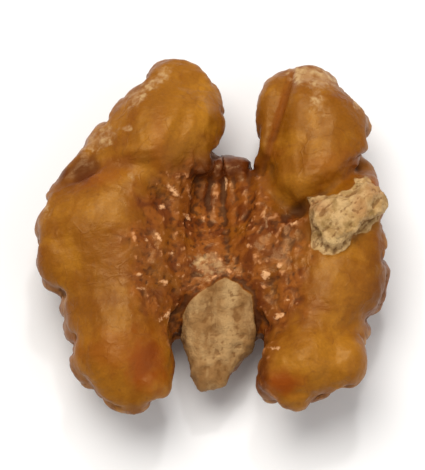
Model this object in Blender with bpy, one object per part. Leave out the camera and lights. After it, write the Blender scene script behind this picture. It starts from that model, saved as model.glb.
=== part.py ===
"""Walnut piece: one half of a shelled walnut kernel, lying on its folded outer side.

X runs across the two wings, Y along the kernel and Z up. The origin is on the
surface that the piece rests on, under the middle of the piece. Lengths in the
lists below are millimetres, and MM turns them into metres.
"""

import math

import bmesh
import bpy
import numpy as np

MM = 0.001

# Each wing seen from above: points round its edge, from the inner end of its upper lobe.
LEFT_OUTLINE = [
    (0.7, 11.2), (0.4, 13.3), (-0.7, 14.7), (-2.6, 15.2), (-4.7, 14.5), (-7.9, 11.3), (-11.9, 7.3),
    (-14.2, 3.4), (-14.8, 0.3), (-14.5, -3.1), (-13.2, -4.9), (-12.0, -7.0), (-11.6, -9.1),
    (-10.8, -12.5), (-9.1, -15.0), (-6.5, -15.8), (-4.6, -14.8), (-3.9, -12.5), (-3.4, -9.7),
    (-2.4, -5.0), (-1.4, 1.0), (0.2, 7.0),
]
RIGHT_OUTLINE = [
    (3.8, 9.8), (4.1, 11.5), (4.9, 13.0), (6.3, 14.1), (8.4, 14.5), (10.1, 14.1), (11.1, 12.6),
    (12.7, 11.3), (13.2, 8.9), (12.7, 5.9), (13.7, 4.4), (14.9, 2.5), (14.6, -0.3), (14.3, -3.7),
    (13.4, -6.2), (11.7, -7.4), (11.4, -8.7), (12.3, -11.1), (11.1, -13.1), (8.7, -14.7), (6.1, -15.4),
    (4.5, -14.2), (4.0, -12.1),
    (3.8, -9.9), (3.0, -4.0), (2.8, 2.0), (3.3, 6.8),
]
# The thick middle of each wing: x, y, z and radius of the balls that it is made from.
LEFT_SPINE = [
    (-3.2, 10.2, 6.8, 4.1), (-6.2, 6.2, 5.7, 5.1), (-9.2, 0.6, 5.6, 5.3),
    (-8.0, -5.4, 5.6, 5.0), (-7.5, -8.8, 6.1, 4.3), (-7.4, -11.9, 6.8, 3.4),
]
RIGHT_SPINE = [
    (8.4, 9.6, 6.9, 4.3), (8.6, 5.6, 5.8, 4.6), (9.5, 0.4, 5.6, 5.2),
    (9.0, -4.2, 5.6, 5.0), (7.9, -8.6, 6.1, 3.9), (8.0, -11.8, 6.8, 3.7),
]
RIM_RADIUS = 2.6
RIM_HEIGHT = 7.0
# How far the rim stands past the outline before smoothing draws it in.
RIM_MARGIN = 0.15
# The low middle that joins the wings: centre and radii of each ball.
BRIDGE = [
    ((0.4, -1.0, 4.6), (8.0, 6.6, 2.9)),
    ((0.0, -3.6, 4.6), (6.6, 5.6, 2.8)),
    ((1.6, 2.8, 4.9), (3.6, 4.4, 2.6)),
    ((-5.2, -2.2, 5.4), (4.0, 7.4, 4.0)),
    ((5.6, -2.6, 5.3), (3.6, 6.6, 3.6)),
    ((3.6, -5.6, 5.0), (2.2, 4.0, 2.3)),
]
# Broken bits, each with its corners: the stub at the lower end, and the chip on the right wing in two lumps.
STUB = [
    (-1.8, -5.8, 7.4), (0.9, -4.2, 7.9), (3.1, -5.6, 7.4), (3.2, -9.6, 6.6), (1.2, -12.1, 5.9),
    (0.7, -13.4, 5.6), (-1.3, -13.6, 5.5), (-2.3, -10.6, 6.1), (-2.4, -8.1, 6.7), (-1.5, -6.0, 3.0),
    (2.8, -6.0, 3.0), (2.9, -9.4, 3.6), (0.8, -12.4, 3.9), (-1.2, -13.0, 3.8), (-2.1, -9.0, 3.4),
]
CHIP_LUMPS = [
    [
        (8.1, 1.8, 10.8), (11.1, 2.2, 11.6), (12.6, 1.6, 11.4), (12.3, -0.7, 11.3), (11.1, -2.1, 11.3),
        (9.5, -2.6, 10.8), (8.2, -0.7, 10.9), (10.4, 0.2, 12.1), (9.2, 0.8, 8.0), (11.8, 0.6, 8.0),
        (10.6, -1.4, 8.2),
    ],
    [
        (11.3, 1.0, 11.0), (12.4, 3.8, 10.9), (13.8, 3.5, 10.3), (15.1, 2.3, 9.3), (14.3, 0.7, 10.3),
        (12.9, -0.2, 10.9), (13.0, 1.9, 11.5), (12.2, 1.4, 8.0), (14.0, 2.0, 7.8),
    ],
]
# Creases in the inner face: points in plan, how far the face moves out (below 0 is in) and half width.
FACE_LINES = [
    ([(3.4, 5.8), (4.8, 3.0), (6.6, 1.5), (8.2, 2.2), (10.4, 3.7), (12.8, 5.6)], -1.5, 0.75),
    ([(6.3, 13.4), (5.4, 9.5), (4.7, 5.0)], -0.7, 0.7),
    ([(1.0, 7.2), (0.9, 3.0), (1.3, -2.4)], -0.6, 0.6),
    ([(5.2, 0.6), (6.8, -0.6)], -0.9, 1.7),
    ([(-8.4, 5.2), (-5.6, 4.6), (-3.4, 1.0), (-3.2, -6.0), (-4.2, -9.0)], -0.6, 0.9),
    ([(4.6, -2.0), (4.6, -6.0), (5.0, -9.0)], -0.5, 0.8),
]
# Folds of the outer side: distance from one crease to the next, depth, and width of a crease's flank.
# They run longer up and down than round the piece, by one over the stretch.
FOLD_WIDTH = 3.3
FOLD_DEPTH = 1.9
FOLD_FLANK = 1.4
FOLD_STRETCH = 0.6
FOLD_SEED = 11
# Least slope of the field that the creases follow, so that none of them spreads into a pool.
FOLD_LEAST_SLOPE = 0.12
# How far up the surface faces where the folds start to fade and where the inner face is plain.
FOLDS_FADE = 0.05
FOLDS_END = 0.75
# Slow swells over the whole piece.
SWELL_LENGTH = 9.0
SWELL_HEIGHT = 0.35
SWELL_SEED = 3
# The furrow between the wings on the outer side, and the height at which it has faded out.
FURROW_X = 0.4
FURROW_SWAY = 0.5
FURROW_DEPTH = 1.4
FURROW_WIDTH = 1.0
FURROW_TOP = 5
# How much is cut off below, for the flats that the piece rests on.
REST_CUT = 0.7
# Fineness of the mesh: voxels, rounds of smoothing and the share of faces kept.
BLANK_VOXEL = 0.27
BLANK_ROUNDS = 16
FINE_VOXEL = 0.33
FINE_ROUNDS = 2
FACES_KEPT = 0.18


def smooth_line(points, steps, closed=False):
    """Points along a smooth curve through the given points."""
    pts = np.array(points, float)
    ends = (pts[-1:], pts[:2]) if closed else (pts[:1], pts[-1:])
    pts = np.concatenate([ends[0], pts, ends[1]])
    out = []
    for a, b, c, d in zip(pts, pts[1:], pts[2:], pts[3:]):
        for t in np.arange(steps) / steps:
            bend = (2 * a - 5 * b + 4 * c - d) * t**2 + (3 * b - a - 3 * c + d) * t**3
            out.append(0.5 * (2 * b + (c - a) * t + bend))
    return np.array(out)


def inset(outline, distance):
    """The points of a clockwise or anticlockwise outline, moved inwards."""
    ahead = np.roll(outline, -1, axis=0) - np.roll(outline, 1, axis=0)
    ahead /= np.linalg.norm(ahead, axis=1)[:, None]
    after = np.roll(outline, -1, axis=0)
    area = (outline[:, 0] * after[:, 1] - after[:, 0] * outline[:, 1]).sum()
    inwards = np.stack([-ahead[:, 1], ahead[:, 0]], axis=1) * np.sign(area)
    return outline + inwards * distance


def ball_shapes(balls):
    """Points and triangles of balls, each given by its centre and its three radii."""
    bm = bmesh.new()
    bmesh.ops.create_icosphere(bm, subdivisions=3, radius=1)
    verts = np.array([v.co for v in bm.verts])
    faces = np.array([[v.index for v in f.verts] for f in bm.faces])
    bm.free()
    return [(verts * radii + centre, faces) for centre, radii in balls]


def chunk_shape(corners):
    """Points and triangles of the convex chunk with the given corners."""
    bm = bmesh.new()
    for corner in corners:
        bm.verts.new(corner)
    bmesh.ops.convex_hull(bm, input=bm.verts)
    bmesh.ops.triangulate(bm, faces=bm.faces)
    bm.verts.index_update()
    shape = (np.array([v.co for v in bm.verts]), np.array([[v.index for v in f.verts] for f in bm.faces]))
    bm.free()
    return shape


def blank_shapes():
    """The overlapping shapes that the kernel is fused from."""
    balls = list(BRIDGE)
    for outline, spine in ((LEFT_OUTLINE, LEFT_SPINE), (RIGHT_OUTLINE, RIGHT_SPINE)):
        for x, y in inset(smooth_line(outline, 4, closed=True), RIM_RADIUS - RIM_MARGIN):
            balls.append(((x, y, RIM_HEIGHT), (RIM_RADIUS,) * 3))
        for x, y, z, radius in smooth_line(spine, 5):
            balls.append(((x, y, z), (radius,) * 3))
    return ball_shapes(balls)


def joined_mesh(name, shapes):
    starts = np.cumsum([0] + [len(points) for points, _ in shapes])
    points = np.concatenate([points for points, _ in shapes]) * MM
    corners = np.concatenate([faces + start for (_, faces), start in zip(shapes, starts)])
    mesh = bpy.data.meshes.new(name)
    mesh.from_pydata(points.tolist(), [], corners.tolist())
    return mesh


def fused(mesh, voxel, rounds, keep=1.0):
    """The mesh made into one skin, smoothed and thinned, as a new mesh."""
    holder = bpy.data.objects.new("holder", mesh)
    bpy.context.scene.collection.objects.link(holder)
    fuse = holder.modifiers.new("Fuse", "REMESH")
    fuse.mode = "VOXEL"
    fuse.voxel_size = voxel * MM
    soften = holder.modifiers.new("Soften", "SMOOTH")
    soften.factor = 0.5
    soften.iterations = rounds
    if keep < 1:
        thin = holder.modifiers.new("Thin", "DECIMATE")
        thin.ratio = keep
    graph = bpy.context.evaluated_depsgraph_get()
    result = bpy.data.meshes.new_from_object(holder.evaluated_get(graph))
    bpy.data.objects.remove(holder)
    return result


def smoothstep(low, high, x):
    t = np.clip((x - low) / (high - low), 0, 1)
    return t * t * (3 - 2 * t)


def waves(points, length, seed, count=28):
    """A winding field of even-sized cells, and its slope, at each point."""
    rng = np.random.default_rng(seed)
    ways = rng.normal(size=(count, 3))
    ways *= 2 * math.pi / length / np.linalg.norm(ways, axis=1)[:, None]
    angle = points @ ways.T + rng.uniform(0, 2 * math.pi, count)
    scale = math.sqrt(2 / count)
    return scale * np.cos(angle).sum(axis=1), -scale * (np.sin(angle) @ ways)


def gap_to_line(points, line):
    """Distance in plan from each point to a line through the given points."""
    flat = points[:, :2]
    best = np.full(len(flat), np.inf)
    for a, b in zip(np.array(line[:-1], float), np.array(line[1:], float)):
        share = np.clip(((flat - a) @ (b - a)) / ((b - a) @ (b - a)), 0, 1)
        best = np.minimum(best, np.linalg.norm(flat - a - share[:, None] * (b - a), axis=1))
    return best


def fold_depth(points, normals):
    """How deep each point lies in the creases between the folds of the outer side, from 0 to 1."""
    stretch = np.array([1, 1, FOLD_STRETCH])
    value, slope = waves(points * stretch, 2 * FOLD_WIDTH, FOLD_SEED)
    slope = slope * stretch
    slope -= (slope * normals).sum(axis=1)[:, None] * normals
    away = np.abs(value) / (np.linalg.norm(slope, axis=1) + FOLD_LEAST_SLOPE)
    share = 1 - np.minimum(1, away / FOLD_FLANK)
    return 1 - np.sqrt(1 - share**2)


def relief(points, normals):
    """How far each point of the blank moves out along its normal, in millimetres."""
    outer = 1 - smoothstep(FOLDS_FADE, FOLDS_END, normals[:, 2])
    moved = -FOLD_DEPTH * outer * fold_depth(points, normals)
    moved += SWELL_HEIGHT * waves(points, SWELL_LENGTH, SWELL_SEED)[0]
    x, y, z = points.T
    furrow = np.exp(-(((x - FURROW_X - FURROW_SWAY * np.sin(0.6 * y)) / FURROW_WIDTH) ** 2))
    furrow *= smoothstep(0.2, 0.6, -normals[:, 2]) * (1 - smoothstep(2, FURROW_TOP, z))
    moved -= FURROW_DEPTH * furrow
    facing_up = smoothstep(0.0, 0.4, normals[:, 2])
    for line, height, width in FACE_LINES:
        moved += facing_up * height * np.exp(-((gap_to_line(points, line) / width) ** 2))
    return moved


def read_vectors(mesh, attribute):
    values = np.empty(len(mesh.vertices) * 3, np.float32)
    mesh.vertices.foreach_get(attribute, values)
    return values.reshape(-1, 3).astype(float)


def folded_shape(mesh):
    """Points and triangles of the blank with the folds and creases pressed into it."""
    points = read_vectors(mesh, "co") / MM
    normals = read_vectors(mesh, "normal")
    points += normals * relief(points, normals)[:, None]
    mesh.calc_loop_triangles()
    corners = np.empty(len(mesh.loop_triangles) * 3, np.int32)
    mesh.loop_triangles.foreach_get("vertices", corners)
    return points, corners.reshape(-1, 3)


def seat(mesh):
    """Cuts the small flats that the piece rests on, and puts the origin under its middle."""
    points = read_vectors(mesh, "co")
    low, high = points.min(axis=0), points.max(axis=0)
    bm = bmesh.new()
    bm.from_mesh(mesh)
    base = low[2] + REST_CUT * MM
    cut = bmesh.ops.bisect_plane(
        bm,
        geom=bm.verts[:] + bm.edges[:] + bm.faces[:],
        dist=0.0000001,
        plane_co=(0, 0, base),
        plane_no=(0, 0, -1),
        clear_outer=True,
    )
    for item in cut["geom_cut"]:
        if isinstance(item, bmesh.types.BMVert):
            item.co.z = base
    rims = [e for e in cut["geom_cut"] if isinstance(e, bmesh.types.BMEdge)]
    bmesh.ops.holes_fill(bm, edges=rims)
    bmesh.ops.translate(bm, verts=bm.verts, vec=(-(low[0] + high[0]) / 2, -(low[1] + high[1]) / 2, -base))
    bmesh.ops.triangulate(bm, faces=bm.faces)
    bm.to_mesh(mesh)
    bm.free()


def kernel_material():
    material = bpy.data.materials.new("walnut_skin")
    material.use_nodes = True
    shader = material.node_tree.nodes["Principled BSDF"]
    shader.inputs["Base Color"].default_value = (0.31, 0.115, 0.018, 1)
    shader.inputs["Roughness"].default_value = 0.45
    shader.inputs["Metallic"].default_value = 0
    return material


def build_kernel():
    blank = fused(joined_mesh("blank", blank_shapes()), BLANK_VOXEL, BLANK_ROUNDS)
    shapes = [folded_shape(blank)] + [chunk_shape(corners) for corners in [STUB, *CHIP_LUMPS]]
    mesh = fused(joined_mesh("kernel", shapes), FINE_VOXEL, FINE_ROUNDS, FACES_KEPT)
    seat(mesh)
    mesh.name = "walnut_half"
    mesh.materials.append(kernel_material())
    kernel = bpy.data.objects.new("walnut_half", mesh)
    bpy.context.scene.collection.objects.link(kernel)


def main():
    for obj in list(bpy.data.objects):
        bpy.data.objects.remove(obj)
    build_kernel()


main()
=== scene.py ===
"""Walnut piece: the looks of one half of a shelled walnut kernel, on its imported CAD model.

The CAD solid is copied, made finer, and given the outer side's finer folds, the skin's
wrinkles, the crinkled middle and the broken flesh. The kernel's lengths are millimetres, and
MM turns them into metres. The floor, the lights and the camera are placed in metres.
"""
import math

import bmesh
import bpy
import numpy as np
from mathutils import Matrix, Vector, noise


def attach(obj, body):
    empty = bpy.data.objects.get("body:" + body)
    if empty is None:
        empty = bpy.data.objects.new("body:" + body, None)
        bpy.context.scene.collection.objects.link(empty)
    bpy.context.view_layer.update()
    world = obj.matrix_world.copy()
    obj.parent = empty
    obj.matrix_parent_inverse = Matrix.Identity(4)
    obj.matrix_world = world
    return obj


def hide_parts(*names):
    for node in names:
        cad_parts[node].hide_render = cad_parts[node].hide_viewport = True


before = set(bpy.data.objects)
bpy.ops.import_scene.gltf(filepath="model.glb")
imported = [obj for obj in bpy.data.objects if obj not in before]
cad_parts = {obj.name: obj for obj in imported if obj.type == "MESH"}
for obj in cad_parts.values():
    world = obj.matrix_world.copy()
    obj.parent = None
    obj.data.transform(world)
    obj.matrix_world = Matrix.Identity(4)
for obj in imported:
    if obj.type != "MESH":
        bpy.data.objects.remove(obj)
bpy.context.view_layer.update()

MM = 0.001
# The camera looks this many degrees down on the inner face.
ELEVATION = 75
# Where the CAD model's own origin lies in the frame.
CAD_SHIFT = np.array([0.08, 0.14, -0.69])
# Height above the CAD model's origin whose points show at their own place in the view.
VIEW_HEIGHT = 6

# Fineness of the visible mesh, and how close the CAD mesh's corners lie that are the same.
VOXEL = 0.18
SAME_PLACE = 0.001

# The outer side's folds, and the lesser creases across them.
FOLD_SIZE = 3.4
FOLD_HEIGHT = 0.55
CREASE_SIZE = 1.7
CREASE_HEIGHT = 0.17
# How high the CAD model's surface lies between the bottoms and the tops of both, from 0 to 1.
RIDGE_LEVEL = 0.72

# How far across the view the notch's middle shows, where the ribs are strongest.
NOTCH_ACROSS = 0.9
# How far apart the faint bands on the wings, the middle's ribs and the stub's pleats are.
BAND_SPACING = 0.78
RIB_SPACING = 1.15
PLEAT_SPACING = 2.3
# How much deeper the crevices between the lobes get.
CREVICE_DEPTH = 0.28

# Rounds of averaging that wear the chip and then the stub round.
CHIP_ROUNDS = 10
STUB_ROUNDS = 50
# Rounds of averaging that find the crevices, the hollows to shade and the crinkles to shade.
CREVICE_ROUNDS = 60
HOLLOW_ROUNDS = 90
CRINKLE_ROUNDS = 8
# How deep a hollow or a crinkle is where its shade is full.
HOLLOW_DEPTH = 0.5
CRINKLE_DEPTH = 0.06

# Regions of the inner face, by how far across and up the camera's view their corners show.
MIDDLE = [
    (-1.1, 6.5), (-4.3, 4.4), (-6.4, 3.3), (-6.9, 0.5), (-6.9, -2.8), (-6.4, -5.1), (-4.8, -6.9),
    (-3.4, -8.6), (-2.5, -8.6), (3.7, -9.7), (3.7, -13.0), (4.2, -13.0), (4.2, -9.3), (5.9, -7.2),
    (7.3, -6.2), (8.0, -4.2), (7.9, -1.6), (8.1, 1.9), (5.2, 2.1), (3.6, 4.2), (2.9, 6.5),
]
STUB = [
    (1.0, -3.6), (2.0, -3.9), (3.1, -5.1), (3.4, -7.4), (3.3, -9.5), (1.3, -11.8), (0.8, -13.4),
    (-1.5, -13.4), (-2.1, -11.8), (-2.4, -9.5), (-2.5, -7.2), (-2.0, -5.5), (-0.6, -4.4),
]
CHIP = [
    (7.9, 3.2), (10.1, 3.6), (11.4, 3.8), (11.9, 4.8), (12.9, 5.0), (14.1, 4.5), (15.5, 3.4), (15.4, 1.8),
    (14.0, 1.2), (12.9, 0.3), (11.7, -0.2), (10.8, -1.3), (9.6, -1.7), (8.2, -1.0), (7.9, 1.0),
]
# Heights above the CAD model's origin that the broken flesh reaches up or down to.
STUB_TOP = 8.2
STUB_FOOT = 4.4
CHIP_FOOT = 8.6

# Oval marks on the inner face: across, up, half length, half width, turn in degrees, strength.
# Skin scuffed off to the pale flesh.
SCUFFS = [
    (8.7, 13.5, 2.1, 0.9, -4, 1.0),  # right lobe's top
    (8.8, 11.6, 0.7, 1.3, 0, 0.62),
    (12.3, 11.2, 0.6, 0.5, 40, 0.8),
    (-4.4, 13.6, 1.0, 0.5, 42, 0.8),  # left lobe's outer edge
    (-6.0, 12.0, 1.7, 0.6, 40, 0.72),
    (-9.7, 8.1, 1.8, 0.8, 40, 0.7),
    (-7.3, 9.1, 0.4, 0.3, 0, 0.8),
    (-6.8, 5.0, 0.6, 0.4, 60, 0.55),
    (-14.0, 2.1, 0.4, 0.8, 0, 0.5),  # left edge
    (-0.6, -2.3, 1.6, 1.0, -20, 0.72),  # middle, above the stub
]
# Small bright flecks in the middle: painted glints.
GLINT_FLECKS = [
    (4.4, -3.3, 0.40, 0.36, 0, 1.0),
    (5.5, -6.7, 0.40, 0.22, 20, 0.9),
    (-3.6, 4.0, 0.55, 0.22, -40, 0.8),
    (-4.3, 2.4, 0.26, 0.2, 0, 0.7),
    (-2.2, 1.5, 0.45, 0.18, -45, 0.7),
    (-4.6, -0.1, 0.45, 0.18, -65, 0.75),
    (-3.4, -1.6, 0.4, 0.15, -60, 0.6),
    (-4.1, -3.9, 0.26, 0.2, 0, 0.7),
    (6.8, 1.0, 0.3, 0.18, 30, 0.65),
    (1.1, 4.4, 0.16, 0.7, 0, 0.7),
    (-3.9, -6.6, 0.45, 0.18, 50, 0.65),
    (6.2, -5.4, 0.3, 0.15, 0, 0.55),
    (-6.1, -3.2, 0.5, 0.15, 10, 0.5),
    (-6.2, -4.4, 0.5, 0.14, 5, 0.5),
    (2.9, -0.8, 0.3, 0.15, -30, 0.5),
    (-3.1, 3.5, 0.35, 0.2, -40, 0.75),
    (-2.1, 3.3, 0.3, 0.15, -60, 0.6),
    (-5.7, -0.2, 0.3, 0.15, -60, 0.55),
    (-2.9, -2.5, 0.3, 0.15, -60, 0.6),
    (-2.5, -3.4, 0.3, 0.15, 40, 0.5),
    (-4.4, -7.0, 0.35, 0.2, 20, 0.6),
    (5.5, -2.5, 0.35, 0.2, 30, 0.6),
    (5.0, -9.4, 0.6, 0.2, 0, 0.5),
]
# Tints of the skin, with a painted highlight and painted shade among them. On broken flesh a light one is
# pale, and an orange one is pinkish.
LIGHT_AND_HIGHLIGHT = [
    (-2.6, 10.6, 3.4, 4.6, -20, 0.5),  # left lobe
    # A painted highlight: the left lobe's bright streak.
    (-0.9, 11.2, 0.7, 3.0, 0, 1.2),
    (8.8, 8.6, 3.6, 4.4, 0, 0.1),  # right lobe
    (9.2, -10.2, 2.6, 3.0, 0, 0.6),  # right leg
    (-8.6, -11.0, 2.2, 2.2, 0, 0.45),  # left leg
    (1.4, -4.9, 0.5, 1.3, 0, 0.8),  # stub's top
    (9.9, -0.6, 1.3, 0.5, 15, 0.7),  # chip's lower edge
]
ORANGE = [
    (-5.7, -10.4, 1.4, 2.3, 0, 1.0),  # left leg
    (-8.4, -9.6, 2.6, 1.6, 0, 0.5),
    (5.9, -12.2, 1.6, 1.0, 0, 1.0),  # right leg
    (5.4, 9.8, 3.7, 0.35, 74, 0.55),  # groove on the right lobe
    (-9.2, 5.4, 2.4, 1.0, 20, 0.5),  # dent between the left wing and its lobe
    (10.6, 6.0, 2.2, 1.0, 0, 0.4),  # right lobe's foot
    (-4.6, 8.0, 0.7, 2.6, 0, 0.35),  # left lobe's foot
    (8.9, 2.4, 0.8, 0.7, 20, 0.7),  # chip
    (12.2, 2.4, 0.5, 0.9, 20, 0.6),
    (13.6, 4.0, 1.0, 0.7, 20, 0.6),
]
RED_AND_SHADE = [
    # Partly the dent's own dark red and partly painted shade.
    (-11.2, 5.5, 1.9, 0.9, 30, 0.95),  # dent between the left wing and its lobe
    # Painted shade on the slope above the middle.
    (-3.4, 7.0, 2.2, 0.9, 10, 0.22),  # left lobe
    (-5.2, 10.4, 0.7, 2.2, -35, 0.2),
    (-7.6, 6.2, 3.0, 0.6, 10, 0.4),
    (5.7, 1.0, 2.4, 1.2, 0, 0.4),  # beside the chip
    (4.1, -11.0, 0.5, 2.6, 0, 0.8),  # right leg's inner edge
    (4.4, 6.8, 0.5, 2.0, -10, 0.4),  # right lobe's inner edge
    # Painted shade along the rim.
    (13.9, -3.5, 1.0, 3.0, 0, 0.45),  # right edge
    (-4.4, -1.5, 1.9, 5.0, 8, 0.2),  # middle's left side
    (4.4, -6.8, 0.9, 2.4, 0, 0.45),  # beside the stub
    # Painted shade, darkening a ridge that faces the key light.
    (-9.2, -5.2, 2.0, 2.0, 0, 0.15),  # left wing
    (-5.4, -10.2, 0.7, 1.6, 0, 0.3),  # left leg
    # Painted shade in the notch's foot.
    (0.9, 5.7, 3.0, 1.1, 0, 1.0),  # notch's foot
]
# Dents, with their depth in millimetres as the strength. Where it is below 0 they stand out.
DENTS = [
    (-10.7, 5.4, 1.7, 0.4, 28, 0.3),  # between the left wing and its lobe
    (-12.2, 6.3, 1.4, 0.9, 40, -0.25),  # left edge, above that dent
    (-4.8, -12.9, 1.1, 1.2, 0, -0.5),  # left leg's lower corner
    (14.8, -2.6, 1.3, 4.6, 0, 0.3),  # right edge
    (5.5, 9.8, 4.2, 0.26, 74, 0.24),  # groove on the right lobe
    (7.6, 2.4, 3.0, 0.5, 28, 0.25),  # below the right lobe
    (0.9, 5.9, 2.1, 0.9, 0, -0.9),  # notch's foot
    (11.8, -10.4, 2.3, 1.4, 67, -1.0),  # right leg's outer side
    (6.6, -15.2, 2.4, 1.4, 0, -0.7),  # right leg's end
    (-9.3, -4.4, 2.6, 1.3, 0, -0.08),  # left wing
    (-2.9, 8.8, 0.6, 2.2, -25, 0.2),  # left lobe
]
# A knob beside the notch's foot that is worn round.
WORN_ROUND = [(2.1, 6.2, 0.8, 1.2, 0, 1.0)]


def smoothstep(low, high, x):
    """0 at low, 1 at high and smooth between them. Low may be the higher number."""
    t = np.clip((x - low) / (high - low), 0, 1)
    return t * t * (3 - 2 * t)


def noise_at(points, size, seed):
    """Smooth noise from about -1 to 1, with features of the given size or sizes."""
    shift = np.array([7.3, 3.1, 5.7]) * seed
    places = (points / np.array(size) + shift).tolist()
    return np.array([noise.noise(p) for p in places])


def fractal_at(points, size, seed, octaves=4):
    """Noise of several sizes at once, the largest of the given size or sizes."""
    shift = np.array([4.7, 8.9, 2.3]) * seed
    places = (points / np.array(size) + shift).tolist()
    return np.array([noise.fractal(p, 0.7, 2.1, octaves) for p in places])


def ridges_at(points, size, seed, octaves=4):
    """Sharp branching ridges, from about -1 between them to 1 on them."""
    shift = np.array([2.9, 6.1, 8.3]) * seed
    places = (points / np.array(size) + shift).tolist()
    return np.array([noise.ridged_multi_fractal(p, 0.9, 2.1, octaves, 1.0, 1.6) for p in places]) - 1


def folded(values, top):
    """Rounded ridges, full where the values reach top, with sharp furrows where they cross 0.

    Heights are measured from the CAD model's surface.
    """
    return np.sqrt(np.clip(np.abs(values) / top, 0, 1)) - RIDGE_LEVEL


def inside(flat, outline):
    """Distance of flat points to an outline's edge: positive inside, negative outside."""
    corners = np.array(outline, float)
    gap = np.full(len(flat), np.inf)
    within = np.zeros(len(flat), bool)
    for a, b in zip(corners, np.roll(corners, -1, axis=0)):
        share = np.clip(((flat - a) @ (b - a)) / ((b - a) @ (b - a)), 0, 1)
        gap = np.minimum(gap, np.linalg.norm(flat - a - share[:, None] * (b - a), axis=1))
        rise = b[1] - a[1]
        if rise:
            crosses = (a[1] > flat[:, 1]) != (b[1] > flat[:, 1])
            within ^= crosses & (flat[:, 0] < a[0] + (flat[:, 1] - a[1]) / rise * (b[0] - a[0]))
    return np.where(within, gap, -gap)


def read_vectors(mesh, attribute):
    """The points or the normals of a mesh's vertices, as rows of an array."""
    values = np.empty(len(mesh.vertices) * 3, np.float32)
    mesh.vertices.foreach_get(attribute, values)
    return values.reshape(-1, 3).astype(float)


def spread(values, edges, rounds):
    """Points averaged with their neighbours along the mesh's edges, a number of times."""
    count = len(values)
    starts = np.concatenate([edges[:, 0], edges[:, 1]])
    ends = np.concatenate([edges[:, 1], edges[:, 0]])
    share = 1 / np.maximum(np.bincount(starts, minlength=count), 1)
    columns = values.T.copy()
    for _ in range(rounds):
        for k, column in enumerate(columns):
            near = np.bincount(starts, weights=column[ends], minlength=count) * share
            columns[k] = 0.5 * column + 0.5 * near
    return columns.T


def fine_copy(node):
    """A closed, evenly fine and smooth copy of the CAD node's mesh."""
    mesh = node.data.copy()
    bm = bmesh.new()
    bm.from_mesh(mesh)
    bmesh.ops.remove_doubles(bm, verts=bm.verts, dist=SAME_PLACE * MM)
    bm.to_mesh(mesh)
    bm.free()
    holder = bpy.data.objects.new("holder", mesh)
    bpy.context.scene.collection.objects.link(holder)
    holder.modifiers.new("Round", "SUBSURF").levels = 1
    fuse = holder.modifiers.new("Fuse", "REMESH")
    fuse.mode = "VOXEL"
    fuse.voxel_size = VOXEL * MM
    soften = holder.modifiers.new("Soften", "SMOOTH")
    soften.factor = 0.5
    soften.iterations = 6
    graph = bpy.context.evaluated_depsgraph_get()
    fine = bpy.data.meshes.new_from_object(holder.evaluated_get(graph))
    bpy.data.objects.remove(holder)
    return fine


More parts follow.
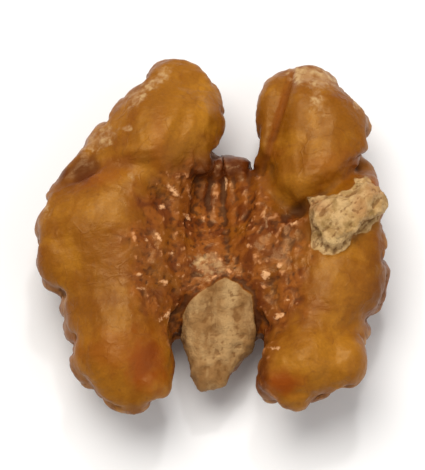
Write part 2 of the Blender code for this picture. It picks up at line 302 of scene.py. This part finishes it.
class Surface:
    """The kernel's surface: its points, directions and the regions on it, all in millimetres."""

    def __init__(self, mesh):
        self.mesh = mesh
        self.points = read_vectors(mesh, "co") / MM
        self.normals = read_vectors(mesh, "normal")
        edges = np.empty(len(mesh.edges) * 2, np.int32)
        mesh.edges.foreach_get("vertices", edges)
        self.edges = edges.reshape(-1, 2)
        self.find_regions()

    def find_regions(self):
        """How far each point is on the inner or outer side, on broken flesh or in each mark, 0 to 1."""
        x, y, z = (self.points - CAD_SHIFT).T
        tilt = math.radians(ELEVATION)
        self.seen = np.stack([x, y * math.sin(tilt) + (z - VIEW_HEIGHT) * math.cos(tilt)], axis=1)
        up = self.normals[:, 2]
        self.wander = 0.8 * noise_at(self.points, 1.5, 1) + 0.45 * noise_at(self.points, 0.55, 2)
        self.inner = smoothstep(0.0, 0.6, up)
        self.outer = smoothstep(0.55, -0.05, up)
        self.stub = smoothstep(-0.2, 0.15, inside(self.seen, STUB) + 0.25 * self.wander)
        self.stub *= smoothstep(STUB_TOP, STUB_TOP - 0.4, z) * smoothstep(STUB_FOOT, STUB_FOOT + 0.5, z)
        self.chip = smoothstep(-0.15, 0.15, inside(self.seen, CHIP) + 0.45 * self.wander)
        self.chip *= smoothstep(CHIP_FOOT, CHIP_FOOT + 0.6, z + 0.5 * self.wander)
        self.broken = np.maximum(self.stub, self.chip)
        self.middle = smoothstep(-1.6, 1.0, inside(self.seen, MIDDLE) + 1.5 * self.wander)
        self.middle *= smoothstep(-0.3, 0.3, up) * (1 - self.stub) * (1 - self.chip)
        self.facing = smoothstep(-0.3, 0.2, up)
        self.scuff = self.facing * self.marks(SCUFFS)
        self.glint_fleck = self.facing * self.marks(GLINT_FLECKS)
        self.light = self.facing * self.marks(LIGHT_AND_HIGHLIGHT)
        self.orange = self.facing * self.marks(ORANGE)
        self.red = self.facing * self.marks(RED_AND_SHADE)

    def marks(self, ovals, ragged=0.6):
        """How strong the strongest of some oval marks with ragged edges is at each point.

        A mark is full up to about a third of its half length and width, and gone at 1.6 times.
        """
        total = np.zeros(len(self.points))
        for across, up, length, width, turn, strength in ovals:
            dx, dy = (self.seen - (across, up)).T
            cos, sin = math.cos(math.radians(turn)), math.sin(math.radians(turn))
            reach = np.hypot((dx * cos + dy * sin) / length, (dy * cos - dx * sin) / width)
            share = strength * smoothstep(1.6, 0.35, reach + ragged * self.wander)
            total = np.where(np.abs(share) > np.abs(total), share, total)
        return total

    def hollow(self, rounds):
        """How far each point lies below its surroundings, which reach further with more rounds."""
        normals = read_vectors(self.mesh, "normal")
        return ((spread(self.points, self.edges, rounds) - self.points) * normals).sum(axis=1)

    def move(self, distances):
        """Moves the points out along their normals, but never below the resting plane."""
        self.points += read_vectors(self.mesh, "normal") * distances[:, None]
        self.points[:, 2] = np.maximum(self.points[:, 2], 0)
        self.mesh.vertices.foreach_set("co", (self.points * MM).astype(np.float32).ravel())
        self.mesh.update()

    def skin_relief(self):
        """Slow swells, faint bands across the wings, fine wrinkles and the dents."""
        p = self.points
        moved = 0.10 * noise_at(p, 2.6, 5) + 0.05 * noise_at(p, 1.1, 6)
        wing = self.inner * (1 - self.middle)
        band_phase = p[:, 1] + 0.6 * noise_at(p, 2.0, 7)
        band_share = smoothstep(-0.1, 0.5, noise_at(p, (2.5, 1.8, 2.5), 8))
        moved += 0.022 * wing * band_share * np.sin(2 * math.pi * band_phase / BAND_SPACING)
        moved += 0.045 * fractal_at(p, (1.0, 2.2, 1.2), 9, 3)
        moved += 0.06 * (1 - self.inner) * fractal_at(p, 1.1, 15, 3)
        wrinkled = smoothstep(-0.1, 0.5, noise_at(p, 3.0, 21))
        moved += 0.045 * wrinkled * ridges_at(p, (1.4, 0.8, 1.0), 22, 3)
        return moved - self.facing * self.marks(DENTS, ragged=0.15)

    def fold_relief(self):
        """The outer side's winding folds and the lesser creases across them.

        The ridges stand out about as far as the furrows go in, so the size stays the CAD model's.
        """
        p = self.points
        bend = np.stack([noise_at(p, 2.4, seed) for seed in (31, 32, 33)], axis=1)
        folds = folded(noise_at(p + 1.1 * bend, FOLD_SIZE, 34), 0.40)
        creases = folded(noise_at(p + 0.5 * bend, CREASE_SIZE, 35), 0.45)
        return self.outer * (FOLD_HEIGHT * folds + CREASE_HEIGHT * creases)

    def middle_relief(self):
        """The crinkled skin of the middle: ribs near the notch, fading into irregular crumples."""
        p = self.points
        calm = smoothstep(-0.5, 0.4, noise_at(p, 2.4, 19))
        crumple = 0.13 * ridges_at(p, (1.5, 2.0, 1.7), 10) + 0.07 * ridges_at(p, 0.8, 11, 3)
        crumple = calm * crumple + 0.06 * fractal_at(p, 0.6, 12, 3)
        across = self.seen[:, 0] - NOTCH_ACROSS
        ribs = smoothstep(-1.0, 5.0, self.seen[:, 1]) * smoothstep(5.0, 2.5, np.abs(across))
        phase = p[:, 0] + 0.25 * noise_at(p, (1.2, 3.0, 1.2), 17)
        return self.middle * (crumple + 0.10 * ribs * np.sin(2 * math.pi * phase / RIB_SPACING))

    def broken_relief(self):
        """Low pleats and lumps on the stub, crumbs on the chip, grains on scuffs and raised flecks."""
        p = self.points
        phase = p[:, 0] + 0.12 * p[:, 1] + 0.7 * noise_at(p, (2.2, 3.0, 2.2), 13)
        pleats = 0.12 * np.cos(2 * math.pi * phase / PLEAT_SPACING)
        lumps = 0.25 + 0.26 * fractal_at(p, (1.5, 2.0, 1.8), 14, 5) + 0.08 * ridges_at(p, 1.1, 36, 3)
        slanted = np.stack([p[:, 0] + p[:, 1], 2 * (p[:, 0] - p[:, 1]), 1.5 * p[:, 2]], axis=1)
        crumbs = 0.24 * fractal_at(slanted, 2.2, 16, 4) + 0.10 * ridges_at(p, 0.9, 18, 3)
        grains = 0.05 * fractal_at(p, 0.5, 20, 3) - 0.05
        raised = self.stub * (pleats + lumps) + self.chip * crumbs
        return raised + self.scuff * grains + 0.08 * self.glint_fleck

    def wear_round(self):
        """Rounds the chip a little, and the stub and the worn places more."""
        rounded = spread(self.points, self.edges, CHIP_ROUNDS)
        self.points += self.chip[:, None] * (rounded - self.points)
        rounded = spread(rounded, self.edges, STUB_ROUNDS)
        worn = np.maximum(self.stub, self.marks(WORN_ROUND))
        self.points += worn[:, None] * (rounded - self.points)

    def add_relief(self):
        """Moves the surface by every relief, but hardly at all where it rests."""
        crevice = smoothstep(0.12, 0.5, self.hollow(CREVICE_ROUNDS)) * (1 - self.broken)
        moved = (self.skin_relief() + self.fold_relief()) * (1 - 0.8 * self.broken)
        moved += self.middle_relief() + self.broken_relief() - CREVICE_DEPTH * crevice
        above_rest = smoothstep(0.0, 0.5, self.points[:, 2])
        self.move(moved * (0.1 + 0.9 * above_rest))

    def store(self, name, values):
        """Keeps a value for each point on the mesh, for the material to read."""
        layer = self.mesh.attributes.new(name, "FLOAT", "POINT")
        layer.data.foreach_set("value", values.astype(np.float32))


def build_kernel():
    surface = Surface(fine_copy(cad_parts["walnut_half"]))
    surface.wear_round()
    surface.add_relief()
    layers = {
        "inner": surface.inner,
        "middle": surface.middle,
        "broken": surface.broken,
        "stub": surface.stub,
        "scuff": surface.scuff,
        "glint_fleck": surface.glint_fleck,
        "light": surface.light,
        "orange": surface.orange,
        "red": surface.red,
        "hollow": np.clip(surface.hollow(HOLLOW_ROUNDS) / HOLLOW_DEPTH, -1, 1),
        "crinkle": np.clip(surface.hollow(CRINKLE_ROUNDS) / CRINKLE_DEPTH, -1, 1),
    }
    for name, values in layers.items():
        surface.store(name, values)
    mesh = surface.mesh
    mesh.name = "walnut_kernel"
    mesh.materials.clear()
    mesh.materials.append(kernel_material())
    mesh.shade_smooth()
    kernel = bpy.data.objects.new("walnut_kernel", mesh)
    bpy.context.scene.collection.objects.link(kernel)
    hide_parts("walnut_half")
    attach(kernel, "root")


class Nodes:
    """Short calls for building a material's node tree."""

    def __init__(self, name):
        self.material = bpy.data.materials.new(name)
        self.material.use_nodes = True
        self.tree = self.material.node_tree
        self.shader = self.tree.nodes["Principled BSDF"]
        coordinates = self.tree.nodes.new("ShaderNodeTexCoord")
        self.place = self.stretched(coordinates.outputs["Object"], (1 / MM,) * 3)

    def set(self, socket, value):
        """Links another node's output to a socket, or gives the socket a plain value."""
        if isinstance(value, bpy.types.NodeSocket):
            self.tree.links.new(value, socket)
        else:
            socket.default_value = value

    def stretched(self, vector, factors):
        """A vector times a factor for each axis. A small one draws a pattern out along its axis."""
        node = self.tree.nodes.new("ShaderNodeVectorMath")
        node.operation = "MULTIPLY"
        self.set(node.inputs[0], vector)
        node.inputs[1].default_value = factors
        return node.outputs[0]

    def attribute(self, name):
        """A value that the mesh keeps for each point."""
        node = self.tree.nodes.new("ShaderNodeAttribute")
        node.attribute_name = name
        return node.outputs["Fac"]

    def noise(self, size, detail=3.0, warp=0.0, stretch=None):
        """Noise from 0 to 1 with features of about the given size in millimetres, bent by warp."""
        node = self.tree.nodes.new("ShaderNodeTexNoise")
        place = self.stretched(self.place, stretch) if stretch else self.place
        self.set(node.inputs["Vector"], place)
        node.inputs["Scale"].default_value = 1 / size
        node.inputs["Detail"].default_value = detail
        node.inputs["Distortion"].default_value = warp
        return node.outputs["Fac"]

    def cell_edges(self, size):
        """Distance from the winding edges of cells of about the given size in millimetres."""
        bend = self.tree.nodes.new("ShaderNodeTexNoise")
        self.set(bend.inputs["Vector"], self.place)
        bend.inputs["Scale"].default_value = 1 / size
        bent = self.tree.nodes.new("ShaderNodeVectorMath")
        bent.operation = "MULTIPLY_ADD"
        self.set(bent.inputs[0], bend.outputs["Color"])
        bent.inputs[1].default_value = (1.6 * size,) * 3
        self.set(bent.inputs[2], self.place)
        node = self.tree.nodes.new("ShaderNodeTexVoronoi")
        node.feature = "DISTANCE_TO_EDGE"
        self.set(node.inputs["Vector"], bent.outputs[0])
        node.inputs["Scale"].default_value = 1 / size
        return node.outputs["Distance"]

    def math(self, operation, a, b=0.0):
        """One step of arithmetic on sockets or plain numbers."""
        node = self.tree.nodes.new("ShaderNodeMath")
        node.operation = operation
        self.set(node.inputs[0], a)
        self.set(node.inputs[1], b)
        return node.outputs[0]

    def times(self, first, *others):
        """All the given sockets or plain numbers multiplied."""
        for other in others:
            first = self.math("MULTIPLY", first, other)
        return first

    def ramp(self, value, low, high, start=0.0, end=1.0):
        """A value from low to high mapped to start to end, smoothly and held at both ends."""
        node = self.tree.nodes.new("ShaderNodeMapRange")
        node.interpolation_type = "SMOOTHSTEP"
        self.set(node.inputs["Value"], value)
        for name, number in (("From Min", low), ("From Max", high), ("To Min", start), ("To Max", end)):
            node.inputs[name].default_value = number
        return node.outputs["Result"]

    def mix(self, share, first, second, blend="MIX"):
        """The first colour, with the given share of the second."""
        node = self.tree.nodes.new("ShaderNodeMixRGB")
        node.blend_type = blend
        self.set(node.inputs["Fac"], share)
        self.set(node.inputs["Color1"], first)
        self.set(node.inputs["Color2"], second)
        return node.outputs["Color"]

    def bump(self, height, distance, strength, below=None):
        """A bump of up to the given distance in millimetres, on top of another one."""
        node = self.tree.nodes.new("ShaderNodeBump")
        self.set(node.inputs["Height"], height)
        node.inputs["Distance"].default_value = distance * MM
        node.inputs["Strength"].default_value = strength
        if below is not None:
            self.set(node.inputs["Normal"], below)
        return node.outputs["Normal"]


def srgb(red, green, blue):
    """An 8-bit screen colour as a linear colour for the shader."""
    def linear(c):
        c = c / 255
        return c / 12.92 if c <= 0.04045 else ((c + 0.055) / 1.055) ** 2.4
    return (linear(red), linear(green), linear(blue), 1)


# The skin, with the painted shade of crevices and the dark of veins.
GOLD = srgb(129, 73, 8)
GOLD_LIGHT = srgb(168, 109, 25)
GOLD_RED = srgb(118, 56, 5)
GOLD_WORN = srgb(182, 126, 56)
ORANGE_SKIN = srgb(132, 54, 2)
RED_SKIN_AND_SHADE = srgb(74, 24, 5)
CREVICE_SHADE_BROWN = srgb(58, 22, 6)
VEIN_BROWN = srgb(104, 52, 18)
# The middle, and the pale of the painted glints on its crinkles' ridges.
MIDDLE_BROWN = srgb(140, 76, 24)
MIDDLE_DARK = srgb(104, 48, 14)
MIDDLE_GLINT = srgb(200, 136, 86)
# Broken flesh: cream on the chip and tan on the stub.
CREAM = srgb(168, 130, 80)
CREAM_LIGHT = srgb(194, 158, 108)
CREAM_GREY = srgb(138, 106, 56)
CREAM_PALE = srgb(214, 182, 128)
CREAM_PINK = srgb(166, 112, 68)
TAN = srgb(142, 102, 59)
TAN_DARK = srgb(112, 72, 36)
TAN_LIGHT = srgb(176, 139, 92)
# Scuffed skin, and the pale of the small bright flecks that are painted glints.
SCUFF_TAN = srgb(166, 122, 78)
GLINT_PALE = srgb(222, 168, 118)


def skin_colour(n, hollow, crinkle, veins):
    """Golden skin with slow patches, faint streaks and veins, and painted shade in the outer side's
    furrows.
    """
    inner = n.attribute("inner")
    colour = n.mix(n.ramp(n.noise(2.8, 5, 0.7), 0.40, 0.70, 0.0, 0.55), GOLD, GOLD_LIGHT)
    colour = n.mix(n.ramp(n.noise(4.6, 4, 0.5), 0.50, 0.72, 0.0, 0.7), colour, GOLD_RED)
    # Lighter patches, and the painted highlight streak on the left lobe.
    colour = n.mix(n.times(n.attribute("light"), 0.8), colour, GOLD_LIGHT)
    streaks = n.noise(0.9, 4, 0.3, stretch=(1.0, 0.32, 1.0))
    colour = n.mix(n.ramp(streaks, 0.52, 0.75, 0.0, 0.3), colour, GOLD_RED)
    colour = n.mix(n.ramp(inner, 1.0, 0.0, 0.0, 0.35), colour, GOLD_RED)
    worn = n.times(n.ramp(hollow, -0.15, -0.7), n.ramp(n.noise(1.6, 5, 0.5), 0.40, 0.62, 0.0, 0.7))
    worn = n.times(worn, n.ramp(inner, 0.9, 0.1, 0.15, 1.0))
    colour = n.mix(worn, colour, GOLD_WORN)
    colour = n.mix(n.times(veins, n.ramp(inner, 0.9, 0.1, 0.4, 1.0)), colour, VEIN_BROWN)
    colour = n.mix(n.ramp(n.noise(0.55, 3, 0.3), 0.62, 0.74, 0.0, 0.3), colour, VEIN_BROWN)
    # Painted shade in the outer side's furrows.
    furrow_shade = n.times(n.ramp(crinkle, 0.1, 0.9, 0.0, 0.6), n.ramp(inner, 0.7, 0.0))
    colour = n.mix(furrow_shade, colour, CREVICE_SHADE_BROWN)
    return n.mix(1.0, colour, n.ramp(n.noise(0.2, 3), 0.3, 0.7, 0.92, 1.05), "MULTIPLY")


def middle_colour(n, crinkle):
    """The reddish middle, with painted shade in its crinkles and painted pinkish glints on their ridges.
    """
    colour = n.mix(n.ramp(n.noise(1.3, 5, 0.8), 0.36, 0.62), MIDDLE_DARK, MIDDLE_BROWN)
    colour = n.mix(n.ramp(n.noise(2.4, 4, 0.5), 0.46, 0.70, 0.0, 0.7), colour, GOLD)
    glint_spots = n.ramp(n.noise(0.8, 5, 0.6), 0.47, 0.62)
    # Painted glints on the crinkles' ridges.
    colour = n.mix(n.times(n.ramp(crinkle, -0.15, -0.8, 0.0, 0.85), glint_spots), colour, MIDDLE_GLINT)
    # Painted shade in the crinkles.
    return n.mix(n.ramp(crinkle, 0.0, 0.8, 0.0, 0.75), colour, CREVICE_SHADE_BROWN)


def flesh_colour(n, crinkle):
    """Broken flesh: cream, greyer and pinkish in places, and tan with soft streaks on the stub, with
    painted shade in its crinkles.
    """
    cream = n.mix(n.ramp(n.noise(0.8, 5, 0.4), 0.38, 0.62), CREAM, CREAM_LIGHT)
    cream = n.mix(n.ramp(n.noise(1.3, 4, 0.7), 0.50, 0.68, 0.0, 0.8), cream, CREAM_GREY)
    cream = n.mix(n.times(n.attribute("light"), 0.8), cream, CREAM_PALE)
    cream = n.mix(n.times(n.attribute("orange"), 0.8), cream, CREAM_PINK)
    patches = n.noise(1.9, 3, 0.4, stretch=(1.0, 0.7, 1.0))
    tan = n.mix(n.ramp(patches, 0.42, 0.66, 0.0, 0.8), TAN, TAN_LIGHT)
    shadows = n.noise(1.4, 3, 0.4, stretch=(1.0, 0.5, 1.0))
    tan = n.mix(n.ramp(shadows, 0.46, 0.70, 0.0, 0.5), tan, TAN_DARK)
    streaks = n.noise(0.7, 4, 0.4, stretch=(1.0, 0.3, 1.0))
    tan = n.mix(n.ramp(streaks, 0.50, 0.70, 0.0, 0.3), tan, CREAM_LIGHT)
    tan = n.mix(n.times(n.attribute("light"), 0.8), tan, CREAM_LIGHT)
    colour = n.mix(n.attribute("stub"), cream, tan)
    colour = n.mix(n.ramp(n.noise(0.28, 4, 0.3), 0.56, 0.68, 0.0, 0.25), colour, TAN_DARK)
    # Painted shade in the crinkles.
    return n.mix(n.ramp(crinkle, 0.15, 0.9, 0.0, 0.65), colour, TAN_DARK)


def vein_lines(n):
    """Faint veins here and there, and a finer net of them on the outer side."""
    veins = n.ramp(n.cell_edges(2.6), 0.0, 0.07, 1.0, 0.0)
    veins = n.times(veins, n.ramp(n.noise(1.8, 3), 0.44, 0.60, 0.0, 0.5))
    net = n.ramp(n.cell_edges(1.5), 0.0, 0.10, 1.0, 0.0)
    net = n.times(net, n.ramp(n.attribute("inner"), 0.5, 0.0, 0.0, 0.5))
    return n.math("MAXIMUM", veins, net)


def with_scuffs(n, colour):
    """A colour with the skin scuffed off in patches that break up at their edges."""
    scuff = n.attribute("scuff")
    frosted = n.math("ADD", scuff, n.ramp(n.noise(0.5, 5, 0.3), 0.25, 0.75, -0.45, 0.45))
    frost = n.mix(n.ramp(n.noise(0.7, 5), 0.4, 0.65), SCUFF_TAN, CREAM_LIGHT)
    share = n.times(n.ramp(frosted, 0.15, 1.25, 0.0, 0.9), n.ramp(scuff, 0.02, 0.3))
    return n.mix(share, colour, frost)


def with_glint_flecks(n, colour):
    """A colour with the small bright flecks, which are painted glints."""
    glint_fleck = n.attribute("glint_fleck")
    speckled = n.math("ADD", glint_fleck, n.ramp(n.noise(0.3, 3), 0.3, 0.7, -0.4, 0.3))
    share = n.times(n.ramp(speckled, 0.1, 0.9, 0.0, 0.9), n.ramp(glint_fleck, 0.02, 0.3))
    # Painted glints: the small bright flecks.
    return n.mix(share, colour, GLINT_PALE)


def kernel_colour(n, hollow, crinkle, broken, veins):
    """Skin, middle and broken flesh, with their tints, painted shade in the crevices, scuffs, and flecks
    that are painted glints.
    """
    skin = skin_colour(n, hollow, crinkle, veins)
    colour = n.mix(n.attribute("middle"), skin, middle_colour(n, crinkle))
    colour = n.mix(n.times(n.attribute("orange"), 0.85), colour, ORANGE_SKIN)
    # Red tints, with painted shade among them.
    colour = n.mix(n.times(n.attribute("red"), 0.8), colour, RED_SKIN_AND_SHADE)
    # Painted shade in the hollows, darker the further they lie below their surroundings.
    colour = n.mix(n.ramp(hollow, 0.15, 0.95, 0.0, 0.8), colour, CREVICE_SHADE_BROWN)
    colour = with_scuffs(n, colour)
    colour = n.mix(n.ramp(broken, 0.3, 0.7), colour, flesh_colour(n, crinkle))
    return with_glint_flecks(n, colour)


def kernel_roughness(n, crinkle, broken):
    """Satin skin, a little glossier in the middle and duller in crinkles and on broken flesh."""
    rough = n.ramp(n.noise(0.8, 4), 0.3, 0.7, 0.33, 0.49)
    rough = n.math("ADD", rough, n.times(n.attribute("middle"), -0.1))
    rough = n.math("ADD", rough, n.ramp(crinkle, 0.1, 0.7, 0.0, 0.3))
    return n.math("ADD", rough, n.times(broken, 0.2))


def kernel_bump(n, broken, veins):
    """Fine grain, crepe, crumbs on broken flesh and raised veins, each on top of the last."""
    fine = n.bump(n.noise(0.11, 3), 0.02, 0.5)
    grain = n.bump(n.noise(0.36, 4, 0.4), 0.05, 0.5, fine)
    creped = n.bump(n.noise(0.5, 4, 1.2, stretch=(0.45, 1.0, 0.8)), 0.07, 0.5, grain)
    crumbled = n.bump(n.times(n.noise(0.26, 5, 0.4), broken), 0.16, 0.7, creped)
    return n.bump(veins, 0.05, 0.6, crumbled)


def kernel_material():
    """The kernel's one material, which reads from the mesh where the skin is whole, worn or broken."""
    n = Nodes("walnut_skin")
    hollow = n.attribute("hollow")
    crinkle = n.attribute("crinkle")
    broken = n.attribute("broken")
    veins = vein_lines(n)
    n.set(n.shader.inputs["Base Color"], kernel_colour(n, hollow, crinkle, broken, veins))
    n.set(n.shader.inputs["Roughness"], kernel_roughness(n, crinkle, broken))
    n.set(n.shader.inputs["Normal"], kernel_bump(n, broken, veins))
    n.shader.inputs["Specular IOR Level"].default_value = 0.35
    n.shader.inputs["Specular Tint"].default_value = (1.0, 0.72, 0.36, 1)
    return n.material


def build_floor():
    """A plain pale floor that the kernel lies on."""
    bpy.ops.mesh.primitive_plane_add(size=3, location=(0, 0, 0))
    floor = bpy.context.object
    floor.name = "floor"
    material = bpy.data.materials.new("floor")
    material.use_nodes = True
    shader = material.node_tree.nodes["Principled BSDF"]
    shader.inputs["Base Color"].default_value = (0.88, 0.875, 0.87, 1)
    shader.inputs["Roughness"].default_value = 0.7
    floor.data.materials.append(material)


def aim(obj, place, target):
    """Puts a light or the camera at a place, looking at a target."""
    obj.location = place
    obj.rotation_euler = (Vector(target) - Vector(place)).to_track_quat("-Z", "Y").to_euler()
    bpy.context.scene.collection.objects.link(obj)


def add_light(name, place, size, energy, colour):
    light = bpy.data.lights.new(name, "AREA")
    light.shape = "DISK"
    light.size = size
    light.energy = energy
    light.color = colour
    aim(bpy.data.objects.new(name, light), place, (0, 0, 0.005))


def build_lights():
    """Soft daylight from the upper left, a weak fill from the right and a small glint."""
    add_light("key", place=(-0.07, 0.10, 0.34), size=0.26, energy=1.08, colour=(1.0, 0.97, 0.93))
    add_light("fill", place=(0.24, -0.12, 0.28), size=0.36, energy=0.34, colour=(0.98, 0.99, 1.0))
    add_light("glint", place=(0.03, 0.16, 0.28), size=0.03, energy=0.15, colour=(1.0, 1.0, 1.0))
    world = bpy.data.worlds.new("studio")
    world.use_nodes = True
    background = world.node_tree.nodes["Background"]
    background.inputs["Color"].default_value = (1, 1, 1, 1)
    background.inputs["Strength"].default_value = 0.38
    bpy.context.scene.world = world
    bpy.context.scene.view_settings.view_transform = "Standard"


def build_camera():
    """A long lens looking steeply down on the inner face, as the photograph does."""
    tilt = math.radians(ELEVATION)
    distance = 0.300
    target = Vector((0, 0, 0.006))
    back = Vector((0, -math.cos(tilt), math.sin(tilt)))
    data = bpy.data.cameras.new("camera")
    data.sensor_fit = "HORIZONTAL"
    data.sensor_width = 36
    data.lens = 300
    data.clip_start = 0.01
    camera = bpy.data.objects.new("camera", data)
    aim(camera, target + back * distance, target)
    bpy.context.scene.camera = camera


build_kernel()
build_floor()
build_lights()
build_camera()
